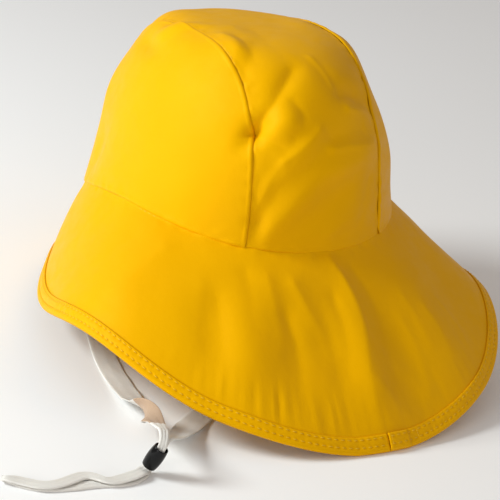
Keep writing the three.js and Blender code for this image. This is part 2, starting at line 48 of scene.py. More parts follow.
camera = bpy.data.objects.new("camera", camera_data)
camera.matrix_world = Matrix(
    (
        (-0.85899, -0.08747, 0.50446, 0.65135),
        (0.49245, -0.41071, 0.76734, 0.97694),
        (0.14006, 0.90756, 0.39587, 0.56235),
        (0, 0, 0, 1),
    )
)
bpy.context.scene.collection.objects.link(camera)
bpy.context.scene.camera = camera

# Chin tape
# One loop of woven cotton tape, sewn inside the crown at both ears. It lies loose on the ground, runs
# twice through the lock, and the free bight beyond the lock lies as it fell.
RIM_MIDDLE = np.array([0.019, -38.260, 0.0])  # from the drawing's middle to the rim's middle
TAPE_WIDTH = 15.0
TAPE_THICK = 0.9
FLAT = (TAPE_WIDTH, TAPE_THICK)
LOCK_LENGTH = 14.0
LOCK_FOOT = np.array([145.6, 179, 5.2])  # middle of its lower end
LOCK_AXIS = np.array([-0.303, 0.286, 0.91]) / math.sqrt(0.303**2 + 0.286**2 + 0.91**2)
LOCK_ACROSS = np.array([0.686, 0.727, 0])  # from one strand in the bore to the other
STRAND = (4.9, 1.8)  # width and thickness of each strand, bunched up in the bore
STRAND_APART = 0.4


def in_bore(up, across):
    shift = across * (STRAND[1] + STRAND_APART) / 2
    at = LOCK_FOOT + LOCK_AXIS * up * LOCK_LENGTH + LOCK_ACROSS * shift
    return (*at, -0.66, 0.62, -0.42, *STRAND)


# Columns: x, y, z of the middle; direction of the width; width; thickness.
TAPE = [
    (83.03, -2.79, 103.38, 0, 1, 0, *FLAT),
    (87.15, -1.19, 88.46, 0, 1, 0, *FLAT),
    (91, 0, 66, 0.15, 1, 0, *FLAT),
    (93, 1, 44, 0.6, 0.8, 0, *FLAT),
    (94.5, 4, 22, 0.95, 0.3, 0, *FLAT),
    (96.3, 11, 6, 1, 0, 0, *FLAT),
    (98.4, 18.5, 1.4, 1, -0.1, 0, *FLAT),
    (100.7, 27.2, 0.5, 1, -0.2, 0, *FLAT),
    (106, 43.6, 0.5, 1, -0.25, 0, *FLAT),
    (110, 58.6, 0.5, 1, -0.2, 0, *FLAT),
    (113, 74, 0.8, 1, -0.15, 0, *FLAT),
    (115.8, 90, 2, 1, -0.15, 0.05, *FLAT),
    (119.3, 108, 5, 1, -0.15, 0.15, *FLAT),
    (123, 123, 9, 0.9, -0.1, 0.5, *FLAT),
    (125.8, 134, 12.6, 0.1, 0, 1, 14, 0.9),
    (128.6, 145, 16, -0.8, 0.15, 0.6, 12.5, 1.0),
    (132.5, 158.5, 19.4, -0.85, 0.35, 0, 10, 1.2),
    (136.8, 171, 23.6, -0.8, 0.55, -0.1, 7.5, 1.5),
    (139.6, 180, 25.8, -0.72, 0.65, -0.2, 5.8, 1.7),
    (141.4, 184.1, 23.2, -0.68, 0.63, -0.38, *STRAND),
    in_bore(1, 1),
    in_bore(0, 1),
    (147.9, 179.2, 3.2, -0.5, 0.75, -0.3, 7, 1.5),
    (151.4, 181.3, 3.4, -0.35, 0.94, 0, 7.5, 1.5),
    (157.2, 182.7, 2.9, -0.18, 0.98, 0, 8.5, 1.4),
    (164.7, 183.7, 2.6, -0.08, 1.00, 0, 8.5, 1.4),
    (170.5, 183.8, 2.6, 0.14, 0.99, 0, 7.2, 1.4),
    (174.0, 182.4, 2.8, 0.65, 0.76, 0, 5.6, 1.5),
    (176.6, 178.5, 2.6, 0.78, 0.62, 0, 6.4, 1.4),
    (179.8, 175.2, 2.4, 0.45, 0.89, 0, 7.2, 1.4),
    (184.4, 174.6, 2.4, -0.10, 1.00, 0, 8, 1.4),
    (190.5, 176.2, 2.4, -0.24, 0.97, 0, 8.2, 1.4),
    (197.5, 178.0, 2.4, -0.14, 0.99, 0, 8.2, 1.4),
    (204.4, 178.2, 2.4, 0.12, 0.99, 0, 8, 1.4),
    (210.1, 176.4, 2.4, 0.47, 0.88, 0, 8, 1.4),
    (214.8, 172.7, 2.4, 0.62, 0.78, 0, 8.2, 1.4),
    (219.1, 169.2, 2.6, 0.56, 0.83, 0, 8, 1.4),
    (222.7, 167.4, 3, 0.48, 0.87, 0, 6.6, 1.4),
    (225.2, 165.8, 2.9, 0.67, 0.74, 0, 4.8, 1.4),
    (225.8, 164.5, 1.95, 0.67, 0.74, 0, 4.2, 1.4),
    (224.3, 164.0, 0.95, 0.33, 0.94, 0, 4.8, 1.4),
    (221.1, 166.2, 0.75, 0.65, 0.76, 0, 6.8, 1.4),
    (217.0, 170.2, 0.7, 0.67, 0.74, 0, 8.2, 1.4),
    (211.9, 174.5, 0.7, 0.55, 0.83, 0, 8.2, 1.4),
    (205.3, 178.0, 0.7, 0.36, 0.93, 0, 8, 1.4),
    (198.0, 179.9, 0.7, 0.20, 0.98, 0, 8, 1.4),
    (190.2, 181.0, 0.7, 0.11, 0.99, 0, 8, 1.4),
    (182.1, 181.7, 0.7, 0.11, 0.99, 0, 7.4, 1.4),
    (174.2, 182.8, 0.7, 0.17, 0.99, 0, 7.4, 1.4),
    (166.6, 184.3, 0.7, 0.11, 0.99, 0, 8.2, 1.4),
    (159.3, 184.4, 0.7, -0.13, 0.99, 0, 8.2, 1.4),
    (153.0, 182.6, 0.9, -0.44, 0.90, 0, 7.5, 1.5),
    (146.9, 178.3, 1.8, -0.5, 0.75, -0.3, 7, 1.4),
    in_bore(0, -1),
    in_bore(1, -1),
    (138.4, 181.4, 21.6, -0.7, 0.66, -0.2, 5.4, 1.7),
    (135, 178.4, 20.8, -0.7, 0.7, 0, 6.6, 1.5),
    (128, 171, 16, -0.68, 0.72, 0.05, 9.5, 1.2),
    (116.7, 158.8, 9.4, -0.65, 0.75, 0.1, 12.5, 1.0),
    (102.4, 144.2, 3.6, -0.62, 0.78, 0, *FLAT),
    (89.5, 133, 0.9, -0.6, 0.8, 0, *FLAT),
    (79.4, 125.4, 0.5, -0.58, 0.81, 0, *FLAT),
    (55, 107, 0.5, -0.6, 0.8, 0, *FLAT),
    (25, 84, 0.5, -0.6, 0.8, 0, *FLAT),
    (-8, 60, 0.5, -0.58, 0.81, 0, *FLAT),
    (-40, 38, 0.5, -0.55, 0.84, 0, *FLAT),
    (-66, 22, 1.4, -0.5, 0.87, 0, *FLAT),
    (-82, 12, 8, -0.4, 0.9, 0, *FLAT),
    (-90, 5, 24, -0.2, 0.97, 0, *FLAT),
    (-92.5, 1, 44, 0, 1, 0, *FLAT),
    (-91.5, 0, 66, 0, 1, 0, *FLAT),
    (-87.15, -1.19, 88.46, 0, 1, 0, *FLAT),
    (-83.03, -2.79, 103.38, 0, 1, 0, *FLAT),
]


def tape_line(s):
    """The tape's middle at s, counted in rows of its table: a smooth curve through them all."""
    p = np.array(TAPE)[:, :3]
    p = np.vstack([2 * p[0] - p[1], p, 2 * p[-1] - p[-2]])
    k = np.clip(np.floor(s).astype(int), 0, len(TAPE) - 2)
    t = (s - k)[:, None]
    a, b, c, d = p[k], p[k + 1], p[k + 2], p[k + 3]
    ab, bc, cd = (np.linalg.norm(q - r, axis=1)[:, None] ** 0.5 for q, r in ((b, a), (c, b), (d, c)))
    leave = ((b - a) / ab - (c - a) / (ab + bc) + (c - b) / bc) * bc
    reach = ((c - b) / bc - (d - b) / (bc + cd) + (d - c) / cd) * bc
    return b + leave * t + (3 * (c - b) - 2 * leave - reach) * t**2 + (2 * (b - c) + leave + reach) * t**3


def tape_frame(s):
    """Middle, width and face directions, half width and half thickness at s."""
    rows = np.array(TAPE)
    k = np.clip(np.floor(s).astype(int), 0, len(TAPE) - 2)
    t = (s - k)[:, None]
    run = tape_line(np.minimum(s + 1e-3, len(TAPE) - 1)) - tape_line(np.maximum(s - 1e-3, 0))
    run /= np.linalg.norm(run, axis=1)[:, None]
    wide = rows[:, 3:6] / np.linalg.norm(rows[:, 3:6], axis=1)[:, None]
    wide = wide[k] * (1 - t) + wide[k + 1] * t
    wide -= run * (wide * run).sum(1)[:, None]
    wide /= np.linalg.norm(wide, axis=1)[:, None]
    face = np.cross(run, wide)
    half, deep = ((rows[k, c] * (1 - t[:, 0]) + rows[k + 1, c] * t[:, 0]) / 2 for c in (6, 7))
    middle = tape_line(s)
    middle[:, 2] = np.maximum(middle[:, 2], abs(wide[:, 2]) * half + abs(face[:, 2]) * deep)
    return middle, wide, face, half, deep


TAPE_STEP = 1.5
TAPE_ROUND = 28  # steps round its section
TWILL_PITCH = 0.8
PLEAT_RISE = 0.55  # where it is fully bunched
SELVEDGE_RISE = 0.12  # share of the thickness
FRILL = 0.12  # waviness of its edges
FRILL_TURN = 3.1  # mm for each radian of it
TURNED_FROM, TURNED_TO = 222.0, 262.0  # along the tape, where its back shows before the lock
fine = np.linspace(0, len(TAPE) - 1, 6000)
passed = np.concatenate([[0], np.cumsum(np.linalg.norm(np.diff(tape_line(fine), axis=0), axis=1))])
TAPE_LENGTH = passed[-1]


def mapped(along, across, place, turned=False):
    """A grid whose corners place(u, v) puts on the piece, in mm; its UV map holds mm of flat cloth."""
    bm = bmesh.new()
    bmesh.ops.create_grid(bm, x_segments=along, y_segments=across, size=0.5)
    bm.verts.index_update()
    co = np.array([v.co for v in bm.verts])
    points, flat = place(np.clip(co[:, 0] + 0.5, 0, 1), np.clip(co[:, 1] + 0.5, 0, 1))
    cloth = bm.loops.layers.uv.new("cloth")
    for face in bm.faces:
        for loop in face.loops:
            loop[cloth].uv = flat[loop.vert.index]
    for vert, point in zip(bm.verts, points * 0.001):
        vert.co = point
    if turned:
        bmesh.ops.reverse_faces(bm, faces=bm.faces)
    return bm


def made(name, bm, material):
    """Ends a piece: its mesh shaded smooth, its finish, and its place on the hat's one body."""
    mesh = bpy.data.meshes.new(name)
    bm.to_mesh(mesh)
    bm.free()
    mesh.polygons.foreach_set("use_smooth", [True] * len(mesh.polygons))
    mesh.materials.append(material)
    piece = bpy.data.objects.new(name, mesh)
    bpy.context.scene.collection.objects.link(piece)
    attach(piece, "root")
    return piece


def tape_place(u, v):
    s = np.interp(u * TAPE_LENGTH, passed, fine)
    middle, wide, face, half, deep = tape_frame(s)
    side = np.where(v < 0.5, 1.0, -1.0)
    x = -np.cos(2 * np.pi * v)
    bunched = 1 - half * 2 / TAPE_WIDTH
    pleat = PLEAT_RISE * bunched * np.cos(3 * np.pi * x) * np.clip(1 - x**4, 0, 1)
    selvedge = 1 + SELVEDGE_RISE * np.exp(-(((abs(x) - 0.93) / 0.05) ** 2))
    y = side * deep * selvedge * np.sqrt(np.clip(1 - x**8, 0, 1)) + pleat * side * 0.8
    frill = FRILL * np.sin(u * TAPE_LENGTH / FRILL_TURN) * abs(x) ** 3
    points = middle + wide * (x * half)[:, None] + face * (y + frill * (1 - bunched))[:, None]
    points[:, 2] = np.maximum(points[:, 2], 0.02)
    # Round the section the map runs on, so the back lies beside the face.
    flat = np.stack([u * TAPE_LENGTH, np.where(side > 0, x, 2 - x) * TAPE_WIDTH / 2], 1)
    return points + RIM_MIDDLE, flat


def shader(name):
    """A new material: its node tree, its shader, and a short way to add and join a node."""
    material = bpy.data.materials.new(name)
    material.use_nodes = True
    nodes, links = material.node_tree.nodes, material.node_tree.links

    def add(kind, inputs=(), **settings):
        node = nodes.new(kind)
        for key, value in settings.items():
            setattr(node, key, value)
        for key, value in dict(inputs).items():
            if isinstance(value, bpy.types.NodeSocket):
                links.new(value, node.inputs[key])
            else:
                node.inputs[key].default_value = value
        return node

    return material, nodes["Principled BSDF"], add, links


def cotton_tape():
    material, skin, add, links = shader("cotton_tape")
    cloth = add("ShaderNodeUVMap", uv_map="cloth").outputs[0]
    split = add("ShaderNodeSeparateXYZ", {0: cloth})
    # Herringbone: the twill turns back at every quarter of the width.
    zig = add("ShaderNodeMath", {0: split.outputs[1], 1: TAPE_WIDTH / 4}, operation="PINGPONG")
    lean = add("ShaderNodeMath", {0: split.outputs[0], 1: zig.outputs[0]}, operation="ADD")
    twill = add("ShaderNodeMath", {0: lean.outputs[0], 1: 2 * math.pi / TWILL_PITCH}, operation="MULTIPLY")
    ribs = add("ShaderNodeMath", {0: twill.outputs[0]}, operation="SINE")
    fuzz = add("ShaderNodeTexNoise", {"Vector": cloth, "Scale": 1.6, "Detail": 4.0})
    wear = add("ShaderNodeTexNoise", {"Vector": cloth, "Scale": 0.05, "Detail": 3.0})
    clean = add(
        "ShaderNodeMix",
        {0: wear.outputs[0], 6: (0.80, 0.765, 0.70, 1), 7: (0.88, 0.86, 0.81, 1)},
        data_type="RGBA",
    )
    # Where it is turned over before the lock, its back is painted brown-beige: painted shade together with
    # painted yellow light reflected from the hat.
    back = add("ShaderNodeMath", {0: split.outputs[1], 1: TAPE_WIDTH / 2}, operation="LESS_THAN")
    near = add("ShaderNodeMath", {0: split.outputs[0], 1: TURNED_FROM}, operation="GREATER_THAN")
    far = add("ShaderNodeMath", {0: split.outputs[0], 1: TURNED_TO}, operation="LESS_THAN")
    both = add("ShaderNodeMath", {0: near.outputs[0], 1: far.outputs[0]}, operation="MULTIPLY")
    painted_shade_and_reflection = add("ShaderNodeMath", {0: both.outputs[0], 1: back.outputs[0]}, operation="MULTIPLY")
    # The colour mixed in here is painted shade and painted yellow reflection from the hat, not the tape's
    # own colour.
    tint = add(
        "ShaderNodeMix",
        {0: painted_shade_and_reflection.outputs[0], 6: clean.outputs[2], 7: (0.50, 0.34, 0.22, 1)},
        data_type="RGBA",
    )
    shade = add(
        "ShaderNodeMapRange",
        {"Value": ribs.outputs[0], "From Min": -1.0, "From Max": 1.0, "To Min": 0.93, "To Max": 1.0},
    )
    colour = add(
        "ShaderNodeMix",
        {0: 1.0, 6: tint.outputs[2], 7: shade.outputs[0]},
        data_type="RGBA",
        blend_type="MULTIPLY",
    )
    links.new(colour.outputs[2], skin.inputs["Base Color"])
    rise = add("ShaderNodeMath", {0: ribs.outputs[0], 1: fuzz.outputs[0]}, operation="ADD")
    bump = add("ShaderNodeBump", {"Strength": 0.5, "Distance": 0.00012, "Height": rise.outputs[0]})
    links.new(bump.outputs[0], skin.inputs["Normal"])
    skin.inputs["Roughness"].default_value = 0.82
    skin.inputs["Sheen Weight"].default_value = 0.2
    skin.inputs["Sheen Roughness"].default_value = 0.5
    return material


bm = mapped(int(TAPE_LENGTH / TAPE_STEP), TAPE_ROUND, tape_place)
bmesh.ops.remove_doubles(bm, verts=bm.verts, dist=1e-6)
bmesh.ops.holes_fill(bm, edges=[e for e in bm.edges if e.is_boundary], sides=0)
bmesh.ops.recalc_face_normals(bm, faces=bm.faces)
chin_tape = made("woven_chin_tape", bm, cotton_tape())
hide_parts("chin_tape")
rings = np.interp(np.linspace(0, TAPE_LENGTH, int(TAPE_LENGTH / TAPE_STEP) + 1), passed, fine)
tape_path = (tape_frame(rings)[0] + RIM_MIDDLE) * 0.001

# Tape lock
# A turned barrel of black plastic, polished, a little fuller at its middle, with rounded ends. It
# leans on its lower end and grips both strands of the tape in its bore.
LOCK_WALL = 0.75
LOCK_SWELL = 0.6
BORE_GAP = 0.3  # round the strands
LOCK_BORE = math.hypot(STRAND[0] / 2, STRAND[1] + STRAND_APART / 2) + BORE_GAP
LOCK_END = LOCK_BORE + LOCK_WALL
LOCK_SIDES = 56

bm = bmesh.new()
outer = [
    (LOCK_END + LOCK_SWELL * math.sin(math.pi * t) ** 0.8, 0.5 + (LOCK_LENGTH - 1) * t)
    for t in np.linspace(0, 1, 15)
]
foot = [
    (LOCK_BORE, 0.6),
    (LOCK_BORE + 0.12, 0.2),
    (LOCK_BORE + 0.32, 0.02),
    (LOCK_END - 0.3, 0),
    (LOCK_END - 0.08, 0.15),
]
head = [(r, LOCK_LENGTH - z) for r, z in reversed(foot)]
profile = [*foot, *outer, *head]
rim = [bm.verts.new((r, 0, z)) for r, z in profile]
seams = [bm.edges.new((rim[i - 1], rim[i])) for i in range(len(rim))]
bmesh.ops.spin(
    bm,
    geom=rim + seams,
    cent=(0, 0, 0),
    axis=(0, 0, 1),
    angle=2 * math.pi,
    steps=LOCK_SIDES,
    use_merge=True,
)
bmesh.ops.remove_doubles(bm, verts=bm.verts, dist=1e-4)
turn = Vector((0, 0, 1)).rotation_difference(Vector(LOCK_AXIS)).to_matrix().to_4x4()
place = Matrix.Scale(0.001, 4) @ Matrix.Translation(Vector(LOCK_FOOT + RIM_MIDDLE)) @ turn
bmesh.ops.transform(bm, matrix=place, verts=bm.verts)
bmesh.ops.recalc_face_normals(bm, faces=bm.faces)

lock_plastic, skin, add, links = shader("lock_plastic")
at = add("ShaderNodeTexCoord").outputs["Object"]
scuff = add("ShaderNodeTexNoise", {"Vector": at, "Scale": 900.0, "Detail": 5.0})
gloss = add(
    "ShaderNodeMapRange",
    {"Value": scuff.outputs[0], "From Min": 0.3, "From Max": 0.7, "To Min": 0.09, "To Max": 0.13},
)
links.new(gloss.outputs[0], skin.inputs["Roughness"])
cast_mark = add("ShaderNodeBump", {"Strength": 0.05, "Distance": 0.0001, "Height": scuff.outputs[0]})
links.new(cast_mark.outputs[0], skin.inputs["Normal"])
skin.inputs["Base Color"].default_value = (0.003, 0.003, 0.003, 1)
skin.inputs["Specular IOR Level"].default_value = 0.25
barrel = made("barrel_lock", bm, lock_plastic)
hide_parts("tape_lock")
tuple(tape_path[0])

# Crown strip
# The centre strip of the crown, cut from yellow coated cotton, from the front of the head opening over
# the top to the rear. Its edges are turned in and sewn to the two side panels.
CLOTH = 1.2
GAP = 0.3
SEAM_SLIT = 0.04  # each side of the seam between the crown's panels
HEAD_LENGTH_HALF = 104.0
HEAD_WIDTH_HALF = 92.7
HEAD_PLAN_POWER = 2.1
CROWN_HEIGHT = 113.5
TOP_BEND = 3.0
TOP_CORNER = 3.7
SIDE_LEAN = 0.335
SHOULDER = 4.6
SEAM_SIDE_RISE = 10.1
SEAM_REAR_RISE = 6.7
STRIP_HALF_FOOT = 47.4
STRIP_HALF_TOP = 41.2
STRIP_HALF_FLAT = 44.0  # as its cloth lies flat, on the whole
STRIP_LONG = 395.0  # of cloth over the top
STRIP_GRID = (400, 96)
CAST_REACH = 260.0  # further than any point of the crown
CAST_HALVINGS = 38
SEAM_HALVINGS = 34
ROLL_RISE, ROLL_AWAY, ROLL_WIDE = 0.16, 1.5, 1.2  # the turned edge beside a seam
GROOVE_DEEP, GROOVE_WIDE = 0.6, 0.32
PUCKER_RISE, PUCKER_PERIOD, PUCKER_REACH = 0.22, 7.0, 4.0
CROWN_UNEVEN = 0.12
STRIP_UNEVEN_PERIOD = 24.0
LEAN = math.radians(6.14406)  # forward, onto the front of the rim
LIFT = 77.426

CROWN_FOLD = 4.5
# Middle in shares of half width, half length and height; run; half length, half width; height outwards.
CROWN_FOLDS = [
    ((0.453, 0.788, 0.594), (-0.55, 0.1, 0.5), 0.114, 0.052, -1),
    ((0.216, 0.731, 0.838), (-0.7, -0.35, 0.62), 0.131, 0.052, -0.36),
    ((0.265, 0.862, 0.668), (-0.5, 0.1, -0.8), 0.135, 0.112, 0.85),
    ((0.248, 0.952, 0.218), (-0.6, 0.14, 0.78), 0.227, 0.07, 0.53),
    ((-0.205, 0.933, 0.445), (-0.94, -0.3, 0.17), 0.245, 0.07, 0.58),
    ((0.194, 0.933, 0.48), (-0.68, 0.03, 0.73), 0.175, 0.052, 0.4),
    ((-0.022, 0.962, 0.245), (-0.8, 0, 0.6), 0.227, 0.079, -0.4),
    ((-0.065, 0.721, 0.891), (-0.35, 0.75, -0.56), 0.131, 0.052, -0.26),
    ((-0.313, 0.769, 0.742), (-0.82, -0.2, -0.5), 0.175, 0.061, -0.53),
    ((0.453, 0.894, 0.14), (0.05, 0, 1), 0.105, 0.044, -0.36),
    ((0.388, 0.394, 0.961), (-0.1, 1, -0.2), 0.148, 0.087, 0.67),
    ((0.496, -0.135, 0.961), (-0.6, 0.7, 0.3), 0.175, 0.052, 0.58),
    ((0.626, -0.288, 0.856), (0.1, 1, -0.1), 0.175, 0.061, -0.58),
    ((-0.518, 0.288, 0.908), (0.1, 1, -0.1), 0.21, 0.114, 0.8),
    ((-0.388, 0.019, 0.978), (0.3, 1, 0), 0.245, 0.114, 0.44),
    ((0.324, -0.5, 0.943), (0.3, 1, 0), 0.192, 0.131, 0.58),
    ((0.669, -0.615, 0.541), (0.1, 0.1, 1), 0.15, 0.131, 0.53),
    ((-0.69, 0.635, 0.419), (0, 0, 1), 0.192, 0.131, 0.58),
    ((-0.755, -0.135, 0.576), (0.2, 0.2, 0.9), 0.21, 0.105, -0.53),
    ((0.852, -0.413, 0.227), (0.2, 0.1, 1), 0.16, 0.114, -0.85),
]

PINCH = (0.47, 0.783, 0.587)  # where the rear seam on the left is pulled in
# Sharper creases: their points in the same shares; half width; height at the start and end, outwards.
CROWN_CREASES = [
    ([PINCH, (0.421, 0.785, 0.654), (0.341, 0.788, 0.73), (0.246, 0.757, 0.82), (0.145, 0.698, 0.893)],
     2.8, -2.3, -0.9),
    ([PINCH, (0.52, 0.75, 0.566), (0.575, 0.705, 0.55)], 1.5, -1.6, -0.4),
    ([(0.475, 0.78, 0.62), (0.56, 0.705, 0.595)], 2.2, -0.8, -0.2),
    ([(0.478, 0.778, 0.562), (0.52, 0.745, 0.545), (0.575, 0.7, 0.528)], 1.5, 1.1, 0.4),
    ([(0.21, 0.83, 0.755), (0.165, 0.87, 0.695), (0.18, 0.89, 0.63), (0.23, 0.895, 0.585)],
     3.2, -1.4, -1.1),
    ([(0.3, 0.905, 0.46), (0.17, 0.925, 0.55), (0.07, 0.925, 0.62)], 2.2, 1.4, 1.0),
    ([(-0.03, 0.955, 0.525), (-0.16, 0.94, 0.53), (-0.3, 0.905, 0.52), (-0.42, 0.86, 0.52)], 2.6, 1.8, 1.4),
    ([(-0.02, 0.95, 0.58), (-0.16, 0.93, 0.605), (-0.3, 0.885, 0.6)], 4.4, -1.5, -1.2),
    ([(-0.18, 0.86, 0.71), (-0.3, 0.84, 0.69), (-0.4, 0.8, 0.69)], 2.2, 1.6, 1.2),
    ([(-0.15, 0.82, 0.78), (-0.28, 0.79, 0.77)], 3.6, -1.5, -1.0),
    ([(-0.03, 0.62, 0.94), (-0.07, 0.72, 0.88), (-0.1, 0.8, 0.82)], 2.0, 0.8, 0.7),
    ([(0.5, 0.765, 0.595), (0.57, 0.705, 0.572)], 2.0, 0.7, 0.2),
    ([(0.46, 0.795, 0.572), (0.4, 0.845, 0.57), (0.332, 0.884, 0.544), (0.27, 0.905, 0.5)],
     2.6, -1.3, -0.3),
    ([(0.43, 0.82, 0.61), (0.35, 0.85, 0.63), (0.27, 0.86, 0.66)], 5.0, 0.9, 0.3),
    ([(0.462, 0.883, 0.19), (0.388, 0.901, 0.356), (0.303, 0.917, 0.468), (0.215, 0.934, 0.518)],
     2.8, 0.7, 0.4),
    ([(0.43, 0.895, 0.14), (0.33, 0.915, 0.31), (0.23, 0.935, 0.42)], 3.2, -0.9, -0.4),
    ([(0.472, -0.22, 0.952), (0.4, -0.25, 0.965)], 4.0, -1.3, -0.4),
    ([(0.42, 0.56, 0.88), (0.33, 0.5, 0.93), (0.24, 0.4, 0.965)], 4.0, -1.4, -0.6),
    ([(0.37, 0.22, 0.98), (0.35, 0.32, 0.975), (0.37, 0.42, 0.95)], 3.6, 1.3, 0.8),
    ([(0.3, 0.3, 0.98), (0.31, 0.44, 0.95), (0.33, 0.55, 0.9)], 3.6, -1.2, -0.8),
    ([(0.12, 0.2, 0.99), (0.16, 0.42, 0.965), (0.14, 0.6, 0.92)], 5.0, -0.7, -0.5),
    ([(0.22, 0.1, 0.99), (0.24, 0.3, 0.98)], 5.0, 0.7, 0.4),
    ([(-0.03, 0.99, 0.07), (-0.12, 0.985, 0.12), (-0.25, 0.965, 0.15)], 2.4, 0.5, 0.2),
    ([(-0.1, 0.98, 0.05), (-0.22, 0.965, 0.08), (-0.33, 0.945, 0.07)], 2.0, -0.5, -0.2),
    ([(-0.36, 0.9, 0.33), (-0.3, 0.93, 0.2), (-0.28, 0.955, 0.08)], 3.0, -0.8, -0.3),
]


def stood(p):
    """From the drawing, level on the head opening, to the hat as it leans on its rim."""
    y = p[:, 1] * math.cos(LEAN) - p[:, 2] * math.sin(LEAN)
    z = p[:, 1] * math.sin(LEAN) + p[:, 2] * math.cos(LEAN) + LIFT
    return np.stack([p[:, 0], y, z], 1) + RIM_MIDDLE


def unit(v):
    return v / np.maximum(np.linalg.norm(v, axis=1), 1e-12)[:, None]


def crown_level(x, y, z):
    h = np.clip(z / CROWN_HEIGHT, 0, 0.999999)
    long = HEAD_LENGTH_HALF * (1 - h**TOP_BEND) ** (1 / TOP_CORNER)
    wide = HEAD_WIDTH_HALF * (1 - SIDE_LEAN * h) * (1 - h**SHOULDER) ** (1 / SHOULDER)
    level = abs(x / wide) ** HEAD_PLAN_POWER + abs(y / long) ** HEAD_PLAN_POWER
    return np.where(z >= CROWN_HEIGHT, 9.0, level)


def cast(start, direction):
    near, far = np.zeros(len(start)), np.full(len(start), CAST_REACH)
    for _ in range(CAST_HALVINGS):
        mid = (near + far) / 2
        p = start + direction * mid[:, None]
        inside = crown_level(p[:, 0], p[:, 1], p[:, 2]) < 1
        near, far = np.where(inside, mid, near), np.where(inside, far, mid)
    return start + direction * near[:, None]


def heading(azimuth):
    a = np.radians(azimuth)
    return np.stack([np.sin(a), -np.cos(a), 0 * a], 1)


def head_reach(azimuth, z):
    h = heading(azimuth)
    return crown_level(h[:, 0], h[:, 1], z) ** (-1 / HEAD_PLAN_POWER)


def seam_at(azimuth):
    a = np.radians(azimuth)
    z = -SEAM_SIDE_RISE * np.cos(2 * a) - SEAM_REAR_RISE * np.cos(a)
    return heading(azimuth) * head_reach(azimuth, z)[:, None] + np.stack([0 * z, 0 * z, z], 1)


def seam_azimuth(x, rear):
    near, far = np.full(len(x), 180.0 if rear else 0.0), np.full(len(x), 90.0)
    for _ in range(SEAM_HALVINGS):
        mid = (near + far) / 2
        short = seam_at(mid)[:, 0] < abs(x)
        near, far = np.where(short, mid, near), np.where(short, far, mid)
    return np.where(x < 0, -near, near)


def strip_point(across, over):
    half = STRIP_HALF_FOOT + (STRIP_HALF_TOP - STRIP_HALF_FOOT) * np.sin(np.pi * over)
    feet = []
    for rear in (True, False):
        s = seam_at(seam_azimuth(across * STRIP_HALF_FOOT, rear))
        feet.append(np.arctan2(s[:, 2] + GAP, s[:, 1]))
    turn = feet[0] + (np.where(feet[1] < 0, feet[1] + 2 * np.pi, feet[1]) - feet[0]) * over
    start = np.stack([across * half, 0 * half, 0 * half], 1)
    return cast(start, np.stack([0 * turn, np.cos(turn), np.sin(turn)], 1))


def crease(p, line, wide, start, end):
    """A crisp fold along a line of points: height from start to end, and flanks that fall off fast."""
    best, high = np.full(len(p), 1e9), np.zeros(len(p))
    for k, (a, b) in enumerate(zip(line[:-1], line[1:])):
        t = np.clip((p - a) @ (b - a) / ((b - a) ** 2).sum(), 0, 1)
        far = np.linalg.norm(p - (a + t[:, None] * (b - a)), axis=1)
        closer = far < best
        best = np.where(closer, far, best)
        high = np.where(closer, start + (end - start) * (k + t) / (len(line) - 1), high)
    return high * np.exp(0.5 - np.sqrt(0.25 + (best / wide) ** 2)) * np.exp(-((best / (4 * wide)) ** 4))


def crown_fold(p):
    rise = np.zeros(len(p))
    span = np.array([HEAD_WIDTH_HALF, HEAD_LENGTH_HALF, CROWN_HEIGHT])
    for line, wide, start, end in CROWN_CREASES:
        rise += crease(p, np.array(line) * span, wide, start, end)
    for at, run, long, wide, high in CROWN_FOLDS:
        off = p - np.array(at) * span
        along = off @ (np.array(run) / np.linalg.norm(run))
        beside = (off**2).sum(1) - along**2
        fall = (along / (long * CROWN_HEIGHT)) ** 2 + beside / (wide * CROWN_HEIGHT) ** 2
        rise += CROWN_FOLD * high * np.exp(-fall)
    return rise


def outward(surface, a, b, step, low, high, free):
    """Normal of surface(a, b), read a little away from where it narrows to a point."""
    a = a if free else np.clip(a, low, high)
    b = np.clip(b, low, high)
    across = surface(a + step[0], b) - surface(a - step[0], b)
    along = surface(a, b + step[1]) - surface(a, b - step[1])
    n = unit(np.cross(across, along))
    return np.where((n * surface(a, b)).sum(1)[:, None] < 0, -n, n)


def ripple(p, period, seed):
    """Soft unevenness of cloth, about -1 to 1: a few crossing waves of like length."""
    rng = np.random.default_rng(seed)
    total = np.zeros(len(p))
    for _ in range(9):
        way = rng.normal(size=3)
        way /= np.linalg.norm(way)
        total += np.sin(p @ way * 2 * np.pi / (period * rng.uniform(0.75, 1.35)) + rng.uniform(0, 6.3))
    return total / 3


def seam_roll(away):
    """The turned edge: a soft roll beside the seam, then down into its fine groove."""
    roll = ROLL_RISE * np.exp(-(((away - ROLL_AWAY) / ROLL_WIDE) ** 2))
    return roll - GROOVE_DEEP * np.exp(-((away / GROOVE_WIDE) ** 2))


def eased(t, near):
    """From 0 to 1 in steps that are smaller by near at both ends, where the cloth turns into a seam."""
    return t - near * np.sin(2 * np.pi * t) / (2 * np.pi)


def pucker(p, away, seed):
    """Small gathers that the thread pulls into the cloth beside a seam."""
    return PUCKER_RISE * ripple(p, PUCKER_PERIOD, seed) * np.exp(-away / PUCKER_REACH) * np.clip(away, 0, 1)


def strip_place(u, v):
    across = 1.5 * (2 * v - 1) - 0.5 * (2 * v - 1) ** 3
    edge = 1 - SEAM_SLIT / STRIP_HALF_TOP
    over = eased(0.8 * u + 0.2 * u**2, 0.7)
    p = strip_point(across * edge, over)
    n = outward(strip_point, across * edge, over, (0.01, 0.004), 0.01, 0.99, True)
    away = (1 - abs(across)) * STRIP_HALF_TOP
    ends = np.minimum(over, 1 - over) * STRIP_LONG
    rise = crown_fold(p) + seam_roll(away) + seam_roll(ends) + pucker(p, np.minimum(away, ends), 3)
    rise += CROWN_UNEVEN * ripple(p, STRIP_UNEVEN_PERIOD, 4)
    return stood(p + n * rise[:, None]), np.stack([over * STRIP_LONG, across * STRIP_HALF_FLAT], 1)


WEAVE = 0.7  # pitch of the threads


